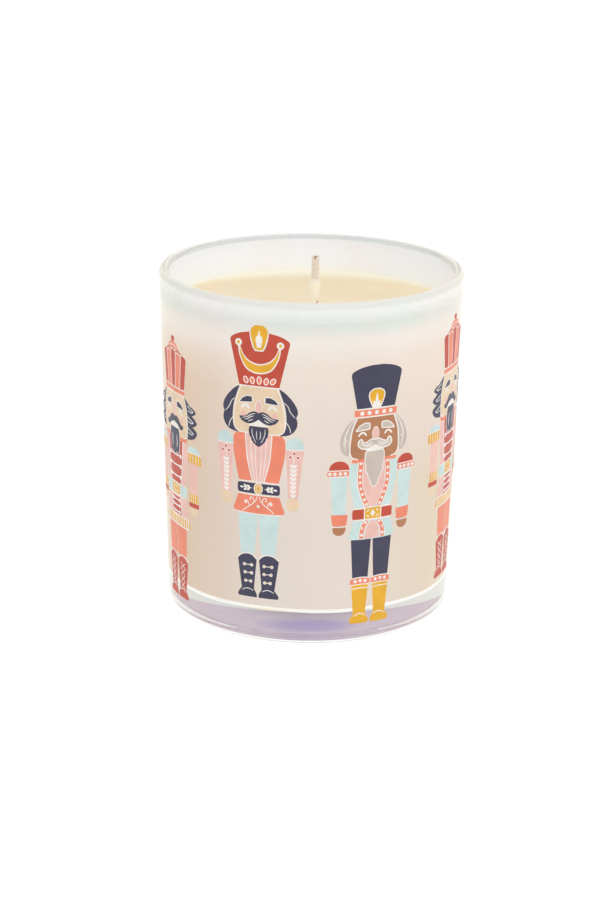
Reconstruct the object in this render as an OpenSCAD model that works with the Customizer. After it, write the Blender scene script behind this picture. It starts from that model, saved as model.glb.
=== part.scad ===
// Jar candle: a pearl-lined glass tumbler filled with wax, with a ring of toy-soldier
// nutcrackers printed on its wall. Millimetres, +Z up, origin at the centre of the foot,
// and the front of the candle faces -Y.

/* [Tumbler] */
// Outer diameter at the rim
rim_d = 80; // [76:1:90]
// Outer diameter at the foot, before its rounded heel
foot_d = 75.5; // [72:0.5:76]
// Height of the glass
height = 92; // [90:1:100]
// Thickness of the side wall
wall = 2.6; // [2.2:0.1:3.2]
// Thickness of the solid glass base
base_t = 8.5; // [7:0.5:10]
// Radius of the rounded heel
heel_r = 3.5; // [3:0.5:5]
// Diameter of the shallow recess under the base
punt_d = 54; // [48:1:58]
// Depth of that recess
punt_depth = 1; // [0.8:0.1:1.5]

/* [Candle] */
// Height of the wax surface above the foot
wax_level = 81; // [76:1:83]
// Length of wick that stands out of the wax
wick_exposed = 14; // [6:1:16]
// Diameter of the braided wick
wick_d = 2.1; // [1.8:0.1:2.6]
// How far the wick leans away from the middle of the jar
wick_offset = 1; // [0:0.1:1.5]
// Diameter of the metal wick tab and of the sticker under it
tab_d = 20; // [16:1:24]

/* [Print] */
// Thickness of one pass of ink
ink_t = 0.08; // [0.06:0.01:0.1]
// Angle of the first printed figure, from the front, turning towards +X
first_angle = -63.6; // [-70:0.2:-60]
// Angle from each figure to the next; the seam of the print takes up what is left
spacing = 44.4; // [43:0.2:45]
// Height of the feet of the figures in the lower row
low_feet = 6; // [5:0.5:7]
// How much higher the figures in between stand, by turns
row_steps = [6.8, 5.9]; // [5:0.1:7]

/* [Hidden] */
$fn = 96;
slack = 1;                       // how far a cutting solid runs past what it cuts
rim_r = rim_d / 2;
foot_r = foot_d / 2;
slope = (rim_r - foot_r) / height;
rim_round = wall / 2;
corner_r = 2;                    // fillet between the inner wall and the floor
lining_t = 0.15;
meniscus = 0.8;                  // how far the wax climbs the wall
punt_r = punt_d / 2;
label_t = 0.15;
label_r = punt_r - 1;
sticker_t = 1;
tab_t = 0.3;
neck_r = 1.9;
neck_h = 5;
wick_r = wick_d / 2;
core_r = 0.35;
coat_r = 1.45;                   // wax coat on the lower part of the bare wick
coat_h = 8;
figures = 8;
designs = 3;
STRIPED = 0;                     // tall striped hat, long curls
RED = 1;                         // red shako with a plate and a chain
NAVY = 2;                        // navy shako with a dotted band
UNDER = 0;                       // the passes of ink, from the glass outwards
COLOUR = 1;
DETAIL = 2;

// ---- profiles of revolution --------------------------------------------------------

function outer_r(z) = foot_r + slope * z;
function inner_r(z) = outer_r(z) - wall;
function arc(c, r, a0, a1, n) =
    [for (i = [0:n]) c + r * [cos(a0 + (a1 - a0) * i / n), sin(a0 + (a1 - a0) * i / n)]];

// The hollow of the tumbler up to height z, drawn in by d all round.
function hollow(z, d) = concat(
    [[0, base_t + d]],
    arc([inner_r(base_t) - corner_r, base_t + corner_r], corner_r - d, -90, 0, 6),
    [[inner_r(z) - d, z]]);

function reversed(v) = [for (i = [len(v) - 1:-1:0]) v[i]];

module glass_tumbler() color([0.9, 0.93, 0.94, 0.4]) rotate_extrude() polygon(concat(
    [[0, punt_depth], [punt_r - punt_depth, punt_depth], [punt_r, 0]],
    arc([foot_r - heel_r, heel_r], heel_r, -90, 0, 8),
    arc([rim_r - rim_round, height - rim_round], rim_round, 0, 180, 8),
    reversed(hollow(height - rim_round, 0))));

module pearl_lining() color([0.97, 0.96, 0.94]) rotate_extrude() polygon(concat(
    hollow(height - rim_round, 0),
    reversed(hollow(height - rim_round, lining_t))));

// ---- wax and wick ------------------------------------------------------------------

tab_z = base_t + lining_t + sticker_t;

module at_wick() translate([wick_offset, 0, 0]) children();

module wax_fill() color([0.96, 0.89, 0.77]) difference() {
    rotate_extrude() polygon(concat(
        hollow(wax_level + meniscus, lining_t),
        [[inner_r(wax_level) - lining_t - meniscus, wax_level + 0.15],
         [inner_r(wax_level) - 4 * meniscus, wax_level], [0, wax_level]]));
    at_wick() {
        translate([0, 0, base_t]) cylinder(d = tab_d, h = tab_z + tab_t - base_t);
        translate([0, 0, base_t]) cylinder(r = neck_r, h = tab_z + neck_h - base_t);
        translate([0, 0, base_t]) cylinder(r = wick_r, h = height);
    }
}

module wick_braid() color([0.95, 0.91, 0.84]) at_wick() translate([0, 0, tab_z])
    difference() {
        cylinder(r = wick_r, h = wax_level + wick_exposed - tab_z);
        translate([0, 0, -slack]) cylinder(r = core_r, h = height);
    }

module wick_core() color([0.67, 0.49, 0.32]) at_wick() translate([0, 0, tab_z])
    cylinder(r = core_r, h = wax_level + wick_exposed - tab_z);

module wick_wax_coat() color([0.96, 0.91, 0.8]) at_wick() translate([0, 0, wax_level])
    difference() {
        union() {
            cylinder(r1 = coat_r + 0.3, r2 = coat_r, h = 1.2);
            translate([0, 0, 1.2]) cylinder(r = coat_r, h = coat_h - 2.7);
            translate([0, 0, coat_h - 1.5]) cylinder(r1 = coat_r, r2 = wick_r + 0.1, h = 1.5);
        }
        translate([0, 0, -slack]) cylinder(r = wick_r, h = height);
    }

module wick_tab() color([0.75, 0.76, 0.78]) at_wick() translate([0, 0, tab_z])
    difference() {
        union() {
            cylinder(d = tab_d, h = tab_t);
            cylinder(r = neck_r, h = neck_h);
        }
        translate([0, 0, -slack]) cylinder(r = wick_r, h = height);
    }

module wick_sticker() color([0.93, 0.93, 0.9]) at_wick()
    translate([0, 0, base_t + lining_t]) cylinder(d = tab_d, h = sticker_t);

module base_label() color([0.8, 0.75, 0.86])
    translate([0, 0, punt_depth - label_t]) cylinder(r = label_r, h = label_t);

// ---- tools for the printed artwork -------------------------------------------------
// A figure is drawn flat, feet at y = 0 and its middle at x = 0, and is then laid round
// the tapered wall. Most shapes are the same on both sides, so half of each is given.

function mirrored(half) = concat(half, [for (p = reversed(half)) [-p.x, p.y]]);
function spline(a, b, c, d, t) = 0.5 * (2 * b + (c - a) * t
    + (2 * a - 5 * b + 4 * c - d) * t * t + (3 * b - a - 3 * c + d) * t * t * t);
function smooth(v) = [for (i = [0:len(v) - 1]) for (t = [0, 0.34, 0.67])
    let (n = len(v)) spline(v[(i + n - 1) % n], v[i], v[(i + 1) % n], v[(i + 2) % n], t)];
function lean(x) = rim_r * sin(x / rim_r * 180 / PI);

module shape(points) polygon([for (p = points) [lean(p.x), p.y]]);
module both(points) {
    shape(points);
    shape([for (p = reversed(points)) [-p.x, p.y]]);
}
module dot(x, y, r) translate([lean(x), y]) circle(r = r, $fn = 24);
module dots(centres, r) for (c = centres) for (side = [-1, 1]) dot(side * c.x, c.y, r);
// A straight stroke of ink of width w.
module bar(a, b, w) {
    n = [a.y - b.y, b.x - a.x] / norm(b - a) * w / 2;
    shape([a - n, b - n, b + n, a + n]);
}

module wall_skin(pass) difference() {
    lift = 0.01 + pass * ink_t;
    cylinder(r1 = foot_r + lift + ink_t - 0.01, r2 = rim_r + lift + ink_t - 0.01, h = height);
    translate([0, 0, -slack]) cylinder(r1 = foot_r - slack * slope + lift - 0.01,
        r2 = rim_r + slack * slope + lift - 0.01, h = height + 2 * slack);
}

function feet(i) = low_feet + (i % 2 == 0 ? 0 : row_steps[floor(i / 2) % 2]);

// Prints the children, which read $design, at every place round the wall.
module printed(pass, used = [STRIPED, RED, NAVY]) for (i = [0:figures - 1])
    if (len(search(i % designs, used)) > 0)
        rotate([0, 0, first_angle + i * spacing]) intersection() {
            wall_skin(pass);
            translate([0, 0, feet(i)]) rotate([90, 0, 0])
                linear_extrude(rim_r + slack) let ($design = i % designs) children();
        }

// ---- outlines that more than one ink or design shares --------------------------------

leg = [[0.2, 22.5], [0.9, 12], [4.8, 12], [5.6, 23.2], [0.2, 23.2]];
boot = [[0.9, 2.6], [0.2, 11], [1.2, 11.8], [2.7, 12.1], [4.2, 11.7], [5.2, 10.6],
    [4.5, 2.6], [5.2, 1.4], [5.3, 0], [0.2, 0], [0.2, 1.5]];
face = [[4.9, 56.9], [6.4, 53.5], [6.8, 50], [6.8, 46.6], [6.4, 45.4], [5.4, 44.8]];
shoulder = [[7.1, 41.8], [7.5, 43], [8.6, 43.9], [10.4, 43.9], [11.6, 43], [12, 41.8]];
sleeve = [[7.2, 41.6], [11.9, 41.6], [10.6, 28.2], [7.8, 28.2]];
torso = [[6.2, 44.6], [6.9, 43.2], [6.9, 40.2], [5.3, 31.8]];
skirt = [[5.7, 28.2], [7, 24], [6.6, 23.3]];
belt = [[5.5, 31.5], [5.8, 31], [5.8, 29], [5.5, 28.5]];
curl = [[5.2, 56.8], [8.4, 54.6], [10, 51.4], [9.6, 49.4], [10, 47.8], [9, 45.6],
    [6.6, 44.7], [7, 47], [7, 50], [6.6, 53.5]];
long_curl = [[6, 56.4], [8, 55.2], [10.6, 53.3], [9.4, 52.2], [11.2, 50.4], [9.6, 49.2],
    [11.1, 47.4], [9.4, 46], [7.2, 45.6], [7.2, 50], [6.7, 53.5]];
side_hair = [[5.7, 56], [8.2, 53.6], [9.7, 50.2], [9.4, 47.4], [7.6, 46], [7.2, 50]];
shako = [[5.3, 57.1], [7.9, 68.8], [7.4, 69.8], [4, 71]];
tall_shako = [[5.2, 58.4], [6.9, 67], [6.5, 68.2], [3.6, 69.4]];
striped_hat = [[5.9, 56.7], [5.9, 58], [7, 66.5], [4.6, 67.4], [2.6, 69], [1, 70.2], [0.8, 71.4]];
brow = [[1.9, 52.9], [1.9, 54.2], [3.2, 54.4], [5.2, 52.8]];
moustache = [[0, 50.1], [1.4, 50.5], [3, 49.6], [5.2, 48.7], [4, 47.6], [2, 47.3], [0, 48.3]];
short_beard = [[2.7, 46.6], [2.6, 44.4], [1.6, 42.4]];
broad_beard = [[2.6, 46.9], [2.9, 44], [2.4, 41.2]];
long_beard = [[2.6, 47], [2.5, 44.4], [1.9, 41.2], [1.3, 38.6]];
mouth = [[1.3, 48.3], [2.5, 47.5], [2.3, 46.8]];
lapel = [[4.6, 44.2], [5, 40], [4, 35.2], [2.4, 31.8], [1.5, 31.8], [2.8, 35.6], [3.6, 40],
    [3.2, 44.2]];
hem_band = [[1.2, 28.3], [2.6, 26], [2.7, 23.4], [3.7, 23.4], [3.5, 26.4], [2.2, 28.3]];

// ---- inks ----------------------------------------------------------------------------

// White underbase: the whole outline of each figure, so that the colours stay bright.
module ink_white_base() color([0.98, 0.96, 0.93]) printed(UNDER) {
    both(boot);
    both(leg);
    shape(mirrored(skirt));
    shape(mirrored(belt));
    shape(mirrored(torso));
    shape(smooth(mirrored(face)));
    both(shoulder);
    both(sleeve);
    dots([[9.2, 26.4]], 1.8);
    if ($design == STRIPED) {
        both(long_curl);
        shape(mirrored(striped_hat));
    }
    if ($design == RED) {
        both(curl);
        shape(mirrored(shako));
    }
    if ($design == NAVY) {
        both(side_hair);
        shape(mirrored(concat([[5.9, 56.2], [5.9, 58]], tall_shako)));
    }
}

module ink_navy() color([0.28, 0.27, 0.35]) printed(COLOUR) {
    if ($design != NAVY) {
        both($design == RED ? curl : long_curl);
        both(brow);
        both(moustache);
        shape(mirrored($design == RED ? concat(short_beard, [[0.2, 41.3]]) : broad_beard));
    }
    if ($design == RED) {
        both(boot);
        both([[1.4, 31.3], [5.6, 31.3], [5.6, 28.7], [1.4, 28.7]]);
    }
    if ($design == NAVY) {
        both(leg);
        shape(mirrored(concat(tall_shako, [[2, 69.7]])));
    }
}

module ink_red() color([0.78, 0.31, 0.25]) printed(COLOUR) {
    if ($design == STRIPED) {
        both([[3.4, 58.1], [5.7, 58.1], [7, 66.4], [4.4, 67]]);
        shape(mirrored([[1.1, 58.1], [1.6, 67.4], [0.6, 68]]));
        shape(smooth(mirrored([[0.6, 70], [1, 70.8], [0.5, 71.5]])));
        shape(mirrored([[4.1, 44], [3.8, 40], [2.9, 31.9]]));
        shape(mirrored([[2.3, 28], [2.8, 23.6]]));
        both([[7.3, 27], [11.2, 27], [11.4, 28.2], [7.2, 28.2]]);
        both(boot);
    }
    if ($design == RED) shape(mirrored(concat(shako, [[2.8, 71.2], [2.2, 69.6], [1.3, 66.4]])));
    if ($design == NAVY) {
        both([[7, 42.4], [7.8, 43.8], [9.6, 44.6], [11.4, 43.8], [12.2, 42.4]]);
        both([[2.5, 31.4], [5.4, 31.4], [5.4, 28.7], [2.5, 28.7]]);
    }
}

module ink_coral() color([0.95, 0.56, 0.45]) printed(COLOUR) {
    if ($design == STRIPED) {
        both([[1.4, 58.1], [3.1, 58.1], [4.1, 67], [1.9, 67.4]]);
        shape(mirrored([[5.9, 56.7], [5.9, 57.8]]));
        both([[0.8, 69.6], [0.8, 68.5], [2.8, 68.3], [2, 69.4]]);
        both([[3.2, 44.1], [6.8, 44.6], [6.4, 45.3], [3.2, 45]]);
        both([[0.3, 20.2], [0.9, 12.4], [4.9, 12.4], [5.3, 20.2]]);
    }
    if ($design == RED) {
        both([[3.7, 44.5], [6.2, 44.5], [6.9, 43.2], [6.9, 40.2], [5.3, 31.8], [1.8, 31.8]]);
        shape(mirrored(skirt));
    }
    if ($design == NAVY) {
        shape(mirrored([[5.8, 56.3], [5.8, 58]]));
        both(lapel);
        both(hem_band);
        both([[6.8, 40.9], [12.5, 40.9], [12.5, 42.1], [6.8, 42.1]]);
        both([[7, 27.1], [10.4, 27.1], [10.9, 30.2], [6.7, 30.2]]);
        both([[0.2, 11], [5.2, 11], [5, 12.5], [0.2, 12.5]]);
    }
}

module ink_pink() color([0.95, 0.77, 0.73]) printed(COLOUR) {
    if ($design == STRIPED) {
        both([[4.5, 43.8], [6.7, 43.8], [6.8, 41], [5.3, 32], [3.3, 32], [4.1, 40]]);
        both([[3, 28.2], [5.6, 28.2], [6.8, 23.6], [3.2, 23.6]]);
        both([[7.8, 38.8], [11.5, 38.8], [10.9, 31.1], [8, 31.1]]);
    }
    if ($design == RED) {
        both([[0.2, 41], [1.9, 42.2], [3.3, 44.4], [3.4, 44.4], [1.5, 31.9], [0.2, 31.9]]);
        both([[7.2, 41], [11.7, 41], [10.6, 28.4], [7.8, 28.4]]);
    }
    if ($design == NAVY) {
        both([[0.1, 37], [1.7, 39.4], [2.8, 43.8], [3.1, 40], [2.3, 35.8], [1.2, 32], [0.1, 32]]);
        shape(mirrored([[0.9, 28.2], [2.2, 25.8], [2.3, 23.5]]));
    }
    if ($design != NAVY) dots([[4.3, 49.9]], 0.5);
}

module ink_mint() color([0.8, 0.88, 0.86]) printed(COLOUR) {
    if ($design != NAVY) both(shoulder);
    if ($design == STRIPED) both([[3, 28.8], [5.8, 28.8], [5.8, 31.4], [3, 31.4]]);
    if ($design == RED) both(leg);
    if ($design == NAVY) {
        both([[5.2, 44.2], [6.4, 43.8], [6.7, 41], [4.9, 31.9], [3, 31.9], [4.5, 35.2], [5.4, 40]]);
        both([[2.7, 28.2], [4.9, 28.2], [6.6, 24.2], [6, 23.4], [4.1, 23.4], [4, 26]]);
        both([[7.2, 40.7], [11.6, 40.7], [10.5, 30.5], [7.6, 30.5]]);
    }
}

module ink_gold() color([0.92, 0.71, 0.2]) {
    printed(COLOUR, [STRIPED]) {
        both([[7.2, 39.1], [12.6, 39.1], [12.4, 41.8], [7.2, 41.8]]);
        both([[7.9, 28.6], [10.9, 28.6], [10.9, 30.8], [7.9, 30.8]]);
        shape(mirrored([[6.8, 23.3], [7.3, 20.5]]));
    }
    printed(COLOUR, [NAVY]) both([[0.9, 2.6], [0.3, 10.6], [4.9, 10.6], [4.4, 2.6], [5.4, 1],
        [5, 0], [0.4, 0], [0.1, 1]]);
    printed(DETAIL, [STRIPED]) shape(mirrored([[2.7, 31.3], [2.7, 28.8]]));
    printed(DETAIL, [RED]) {
        shape(smooth(mirrored([[0.9, 66.8], [2.3, 71], [1.8, 72.7]])));
        shape(mirrored([[1.1, 31.2], [1.1, 28.8]]));
    }
    printed(DETAIL, [RED]) shape(mirrored(concat(arc([0, 66.7], 5.9, -88, 8, 8),
        reversed(arc([0, 68.8], 5.6, -88, -12, 7)))));
    printed(DETAIL, [NAVY]) {
        shape(smooth(mirrored([[1.2, 58.6], [2.2, 61.4], [1.4, 63]])));
        shape(mirrored([[2.3, 31.5], [2.3, 28.7]]));
    }
}

module ink_tan() color([0.91, 0.8, 0.66]) printed(COLOUR, [STRIPED, RED]) {
    shape(mirrored([[4.7, 56.6], [6.2, 53.5], [6.5, 50], [6.4, 46.4], [5.8, 45.2], [2.9, 45],
        [2.8, 47.1], [4.4, 47.4], [5.5, 48.7], [4, 49.2], [3, 49.9], [1.4, 50.7], [0.3, 50.6]]));
    dots([[9.2, 26.3]], 1.7);
}

module ink_brown() color([0.71, 0.5, 0.36]) printed(COLOUR, [NAVY]) {
    shape(mirrored([[5.1, 55.7], [6.2, 53.5], [6.5, 50], [6.6, 46.6], [5.8, 45.3], [3.1, 45.1],
        [2.9, 47], [4.4, 47.6], [4.9, 49.6], [3.6, 49.9], [2.6, 49.6], [1.4, 50.1], [0.3, 50.1]]));
    both([[7.2, 26.8], [7.5, 25.2], [8.8, 24.5], [10, 25.1], [10.4, 26.8]]);
}

module ink_grey() color([0.8, 0.74, 0.69]) {
    printed(COLOUR, [NAVY]) {
        both(side_hair);
        shape(mirrored(concat(long_beard, [[0.2, 37.4]])));
    }
    printed(DETAIL, [NAVY]) {
        both(brow);
        both([[0.1, 48.6], [0.1, 49.8], [1.4, 50], [2.8, 49.3], [3.8, 50], [4.7, 49.2], [4, 47.9],
            [2, 47.6]]);
    }
}

// White overprint: the drawing's dots, toggles, laces and outlines.
module ink_white_lines() color([0.98, 0.96, 0.93]) printed(DETAIL) {
    shape(mirrored(mouth));
    both([[2.9, 51], [3.1, 51.7], [3.8, 52], [4.5, 51.6], [4.6, 51], [3.8, 51.5]]);
    if ($design == STRIPED) {
        for (y = [33.4, 36.4, 39.4]) bar([-2.8, y], [2.8, y], 0.4);
        for (y = [24.6, 26.2, 27.6]) bar([-1.8, y], [1.8, y], 0.35);
        dots([for (y = [33.4, 36.4, 39.4]) [3.1, y]], 0.5);
    }
    if ($design == RED) {
        for (y = [29:2.1:38]) both([[9.2, y - 0.9], [10, y + 0.3], [9.2, y + 0.9], [8.4, y + 0.3]]);
        dots([for (x = [1.6, 3.6]) for (y = [4.4, 6.6, 8.8]) [x, y]], 0.32);
        dots([for (x = [2, 3.9]) [x, 58.8]], 0.6);
        dots([[5.6, 68.2]], 0.9);
    }
    if ($design == NAVY) {
        dots([for (x = [2, 4.1]) [x, 57.1]], 0.55);
        dots([[4, 42.8], [4.2, 40.6], [4.2, 38.4], [3.8, 36.2], [3, 34.2]], 0.35);
        dots([for (x = [7.8:1.35:12]) [x, 41.5]], 0.4);
        dots([for (x = [1.3, 2.7, 4.1]) [x, 11.7]], 0.38);
        dots([[3, 26.2], [3.2, 24.6]], 0.35);
    }
}

glass_tumbler();
pearl_lining();
wax_fill();
wick_braid();
wick_core();
wick_wax_coat();
wick_tab();
wick_sticker();
base_label();
ink_white_base();
ink_navy();
ink_red();
ink_coral();
ink_pink();
ink_mint();
ink_gold();
ink_tan();
ink_brown();
ink_grey();
ink_white_lines();
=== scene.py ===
"""Looks of the jar candle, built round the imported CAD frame.

Sizes here are in millimetres, and every mesh is in metres. The printed figures are drawn flat,
with their feet at y = 0 and their middle at x = 0, and are then laid round the tapered wall.
"""
import math

import bmesh
import bpy
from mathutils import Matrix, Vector
from mathutils.geometry import tessellate_polygon


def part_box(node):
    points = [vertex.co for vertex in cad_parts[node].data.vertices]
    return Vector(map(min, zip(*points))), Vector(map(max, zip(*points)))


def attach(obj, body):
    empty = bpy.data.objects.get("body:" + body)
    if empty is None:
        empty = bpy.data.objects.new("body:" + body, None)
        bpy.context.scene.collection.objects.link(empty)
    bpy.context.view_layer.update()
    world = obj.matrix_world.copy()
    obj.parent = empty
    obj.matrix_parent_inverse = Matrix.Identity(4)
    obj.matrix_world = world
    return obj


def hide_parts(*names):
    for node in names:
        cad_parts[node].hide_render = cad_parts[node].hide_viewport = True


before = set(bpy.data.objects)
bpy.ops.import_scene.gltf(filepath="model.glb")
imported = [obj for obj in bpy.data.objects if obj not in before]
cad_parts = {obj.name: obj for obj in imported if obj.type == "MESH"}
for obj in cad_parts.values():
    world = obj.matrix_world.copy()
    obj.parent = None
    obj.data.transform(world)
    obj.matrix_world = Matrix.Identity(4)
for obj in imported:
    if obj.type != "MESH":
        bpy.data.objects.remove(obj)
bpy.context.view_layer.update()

MM = 0.001

# ---- driving sizes, in millimetres -----------------------------------------------------

RIM_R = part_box("glass_tumbler")[1].y / MM
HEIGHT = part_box("glass_tumbler")[1].z / MM
WALL = 2.6
FOOT_R = 37.75
HEEL_R = 3.5
BASE_T = 8.5
PUNT_R = 27.0
PUNT_DEPTH = 1.0
CORNER_R = 2.0
LINING_T = 0.15
LINING_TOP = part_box("pearl_lining")[1].z / MM
MENISCUS = 0.8
WAX_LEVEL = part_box("wax_fill")[1].z / MM - MENISCUS
WICK_X = (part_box("wick_core")[1].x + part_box("wick_core")[0].x) / 2 / MM
WICK_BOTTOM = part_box("wick_braid")[0].z / MM
WICK_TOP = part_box("wick_braid")[1].z / MM
COAT_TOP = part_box("wick_wax_coat")[1].z / MM
LABEL_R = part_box("base_label")[1].x / MM
SEGMENTS = 240
BOND = 0.02             # how far a coat sinks into the glass, so that no air lies between
WAX_GAP = 0.01          # between the wax and the lining, so that their faces don't touch
WAX_ROOT = 0.3          # how far the sleeve on the wick starts below the wax

# ---- small tools -----------------------------------------------------------------------


def srgb(red, green, blue):
    """A colour from its 0 to 255 screen values, as Blender's linear RGBA."""
    def linear(c):
        c /= 255
        return c / 12.92 if c <= 0.04045 else ((c + 0.055) / 1.055) ** 2.4
    return (linear(red), linear(green), linear(blue), 1.0)


def outer_r(z):
    return FOOT_R + (RIM_R - FOOT_R) * z / HEIGHT


def inner_r(z):
    return outer_r(z) - WALL


FLOOR_R = inner_r(BASE_T + CORNER_R) - CORNER_R     # the flat part of the hollow's floor


def arc(cx, cy, r, start, end, steps):
    """Points on a circle from one angle to another, in degrees."""
    angles = [math.radians(start + (end - start) * i / steps) for i in range(steps + 1)]
    return [(cx + r * math.cos(a), cy + r * math.sin(a)) for a in angles]


def piece(name, vertices, faces, material, slot, *nodes, smooth_angle=35):
    """A finished mesh piece, in metres, that rides on the candle and stands for CAD nodes."""
    mesh = bpy.data.meshes.new(name)
    mesh.from_pydata(vertices, [], faces)
    mesh.validate()
    mesh.shade_smooth()
    mesh.set_sharp_from_angle(angle=math.radians(smooth_angle))
    mesh.materials.append(material)
    obj = bpy.data.objects.new(name, mesh)
    bpy.context.scene.collection.objects.link(obj)
    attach(obj, "root")
    if nodes:
        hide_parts(*nodes)
    return obj


def let_light_in(obj):
    """Milky wax and lacquer pass light on to what is behind and below them."""
    obj.visible_shadow = False
    obj.visible_diffuse = False


def lathe(profile, wobble=None):
    """Vertices and faces of a profile of (radius, height) turned about the axis. The profile
    runs so that the solid lies on its left. wobble(angle, r, z) may move each point."""
    vertices, rings = [], []
    for r, z in profile:
        if r < 1e-6:
            rings.append([len(vertices)] * SEGMENTS)
            vertices.append((0.0, 0.0, z * MM))
            continue
        ring = []
        for k in range(SEGMENTS):
            a = math.tau * k / SEGMENTS
            rr, zz = wobble(a, r, z) if wobble else (r, z)
            ring.append(len(vertices))
            vertices.append((rr * math.cos(a) * MM, rr * math.sin(a) * MM, zz * MM))
        rings.append(ring)
    faces = []
    for low, high in zip(rings, rings[1:]):
        for k in range(SEGMENTS):
            n = (k + 1) % SEGMENTS
            face = [low[k], low[n], high[n], high[k]]
            face = [v for i, v in enumerate(face) if v != face[i - 1]]
            if len(face) > 2:
                faces.append(face)
    return vertices, faces


def spread(a, b, steps):
    """Points along a straight line, without its first point."""
    return [(a[0] + (b[0] - a[0]) * i / steps, a[1] + (b[1] - a[1]) * i / steps)
            for i in range(1, steps + 1)]


# ---- materials -------------------------------------------------------------------------


class Shader:
    """A node material with one Principled shader, and short calls for the nodes it uses."""

    def __init__(self, name, **values):
        self.material = bpy.data.materials.new(name)
        self.material.use_nodes = True
        self.tree = self.material.node_tree
        self.principled = self.tree.nodes["Principled BSDF"]
        self.output = self.tree.nodes["Material Output"]
        self.where = self.add("ShaderNodeTexCoord").outputs["Object"]
        for key, value in values.items():
            self.principled.inputs[key.replace("_", " ")].default_value = value

    def add(self, kind, **settings):
        node = self.tree.nodes.new(kind)
        for key, value in settings.items():
            setattr(node, key, value)
        return node

    def link(self, source, target):
        self.tree.links.new(source, target)

    def noise(self, scale, detail=3.0, stretch=(1, 1, 1)):
        mapping = self.add("ShaderNodeMapping")
        mapping.inputs["Scale"].default_value = stretch
        self.link(self.where, mapping.inputs["Vector"])
        node = self.add("ShaderNodeTexNoise")
        node.inputs["Scale"].default_value = scale
        node.inputs["Detail"].default_value = detail
        self.link(mapping.outputs["Vector"], node.inputs["Vector"])
        return node.outputs["Fac"]

    def ramp(self, factor, stops):
        """A colour or value that follows factor through (place, colour) stops."""
        node = self.add("ShaderNodeValToRGB")
        elements = node.color_ramp.elements
        for place, _ in stops[2:]:
            elements.new(place)
        for element, (place, colour) in zip(elements, stops):
            element.position = place
            element.color = colour if isinstance(colour, tuple) else (colour,) * 3 + (1.0,)
        self.link(factor, node.inputs["Fac"])
        return node.outputs["Color"]

    def mix(self, factor, a, b, blend="MIX"):
        node = self.add("ShaderNodeMix", data_type="RGBA", blend_type=blend)
        for socket, value in ((node.inputs[0], factor), (node.inputs[6], a), (node.inputs[7], b)):
            if isinstance(value, bpy.types.NodeSocket):
                self.link(value, socket)
            else:
                socket.default_value = value
        return node.outputs[2]

    def along(self, axis, low, high):
        """0 to 1 as the place on an axis goes from low to high, in millimetres."""
        split = self.add("ShaderNodeSeparateXYZ")
        self.link(self.where, split.inputs[0])
        node = self.add("ShaderNodeMapRange")
        node.inputs["From Min"].default_value = low * MM
        node.inputs["From Max"].default_value = high * MM
        self.link(split.outputs[axis], node.inputs["Value"])
        return node.outputs["Result"]

    def climb(self, stops):
        """A colour or value that changes with height: 0 is the foot of the jar and 1 its rim."""
        return self.ramp(self.along("Z", 0, HEIGHT), stops)

    def across(self, stops):
        """A colour or value that changes from 0 at the left side of the jar to 1 at its right."""
        return self.ramp(self.along("X", -RIM_R, RIM_R), stops)

    def speckle(self, scale, low, high, detail=3.0):
        """A colour or value that wanders between two over the surface."""
        return self.ramp(self.noise(scale, detail), [(0.3, low), (0.7, high)])

    def around(self, centre, half):
        """0 at a centre (x, y) to 1 on the oval round it with these half sizes, in millimetres."""
        move = self.add("ShaderNodeVectorMath", operation="SUBTRACT")
        self.link(self.where, move.inputs[0])
        move.inputs[1].default_value = (centre[0] * MM, centre[1] * MM, 0)
        flat = self.add("ShaderNodeVectorMath", operation="MULTIPLY")
        self.link(move.outputs[0], flat.inputs[0])
        flat.inputs[1].default_value = (1 / (half[0] * MM), 1 / (half[1] * MM), 0)
        length = self.add("ShaderNodeVectorMath", operation="LENGTH")
        self.link(flat.outputs[0], length.inputs[0])
        return length.outputs["Value"]

    def within(self, radius, slope):
        """1 where the surface lies within a cone of this radius at z = 0, in millimetres."""
        distance = self.around((0, 0), (1 / MM, 1 / MM))
        split = self.add("ShaderNodeSeparateXYZ")
        self.link(self.where, split.inputs[0])
        cone = self.add("ShaderNodeMath", operation="MULTIPLY_ADD")
        self.link(split.outputs["Z"], cone.inputs[0])
        cone.inputs[1].default_value = -slope
        self.link(distance, cone.inputs[2])
        less = self.add("ShaderNodeMath", operation="LESS_THAN")
        self.link(cone.outputs[0], less.inputs[0])
        less.inputs[1].default_value = radius * MM
        return less.outputs[0]

    def bump(self, source, strength, distance_mm):
        node = self.add("ShaderNodeBump")
        node.inputs["Strength"].default_value = strength
        node.inputs["Distance"].default_value = distance_mm * MM
        self.link(source, node.inputs["Height"])
        self.link(node.outputs["Normal"], self.principled.inputs["Normal"])

    def set(self, name, source):
        self.link(source, self.principled.inputs[name])


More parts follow.
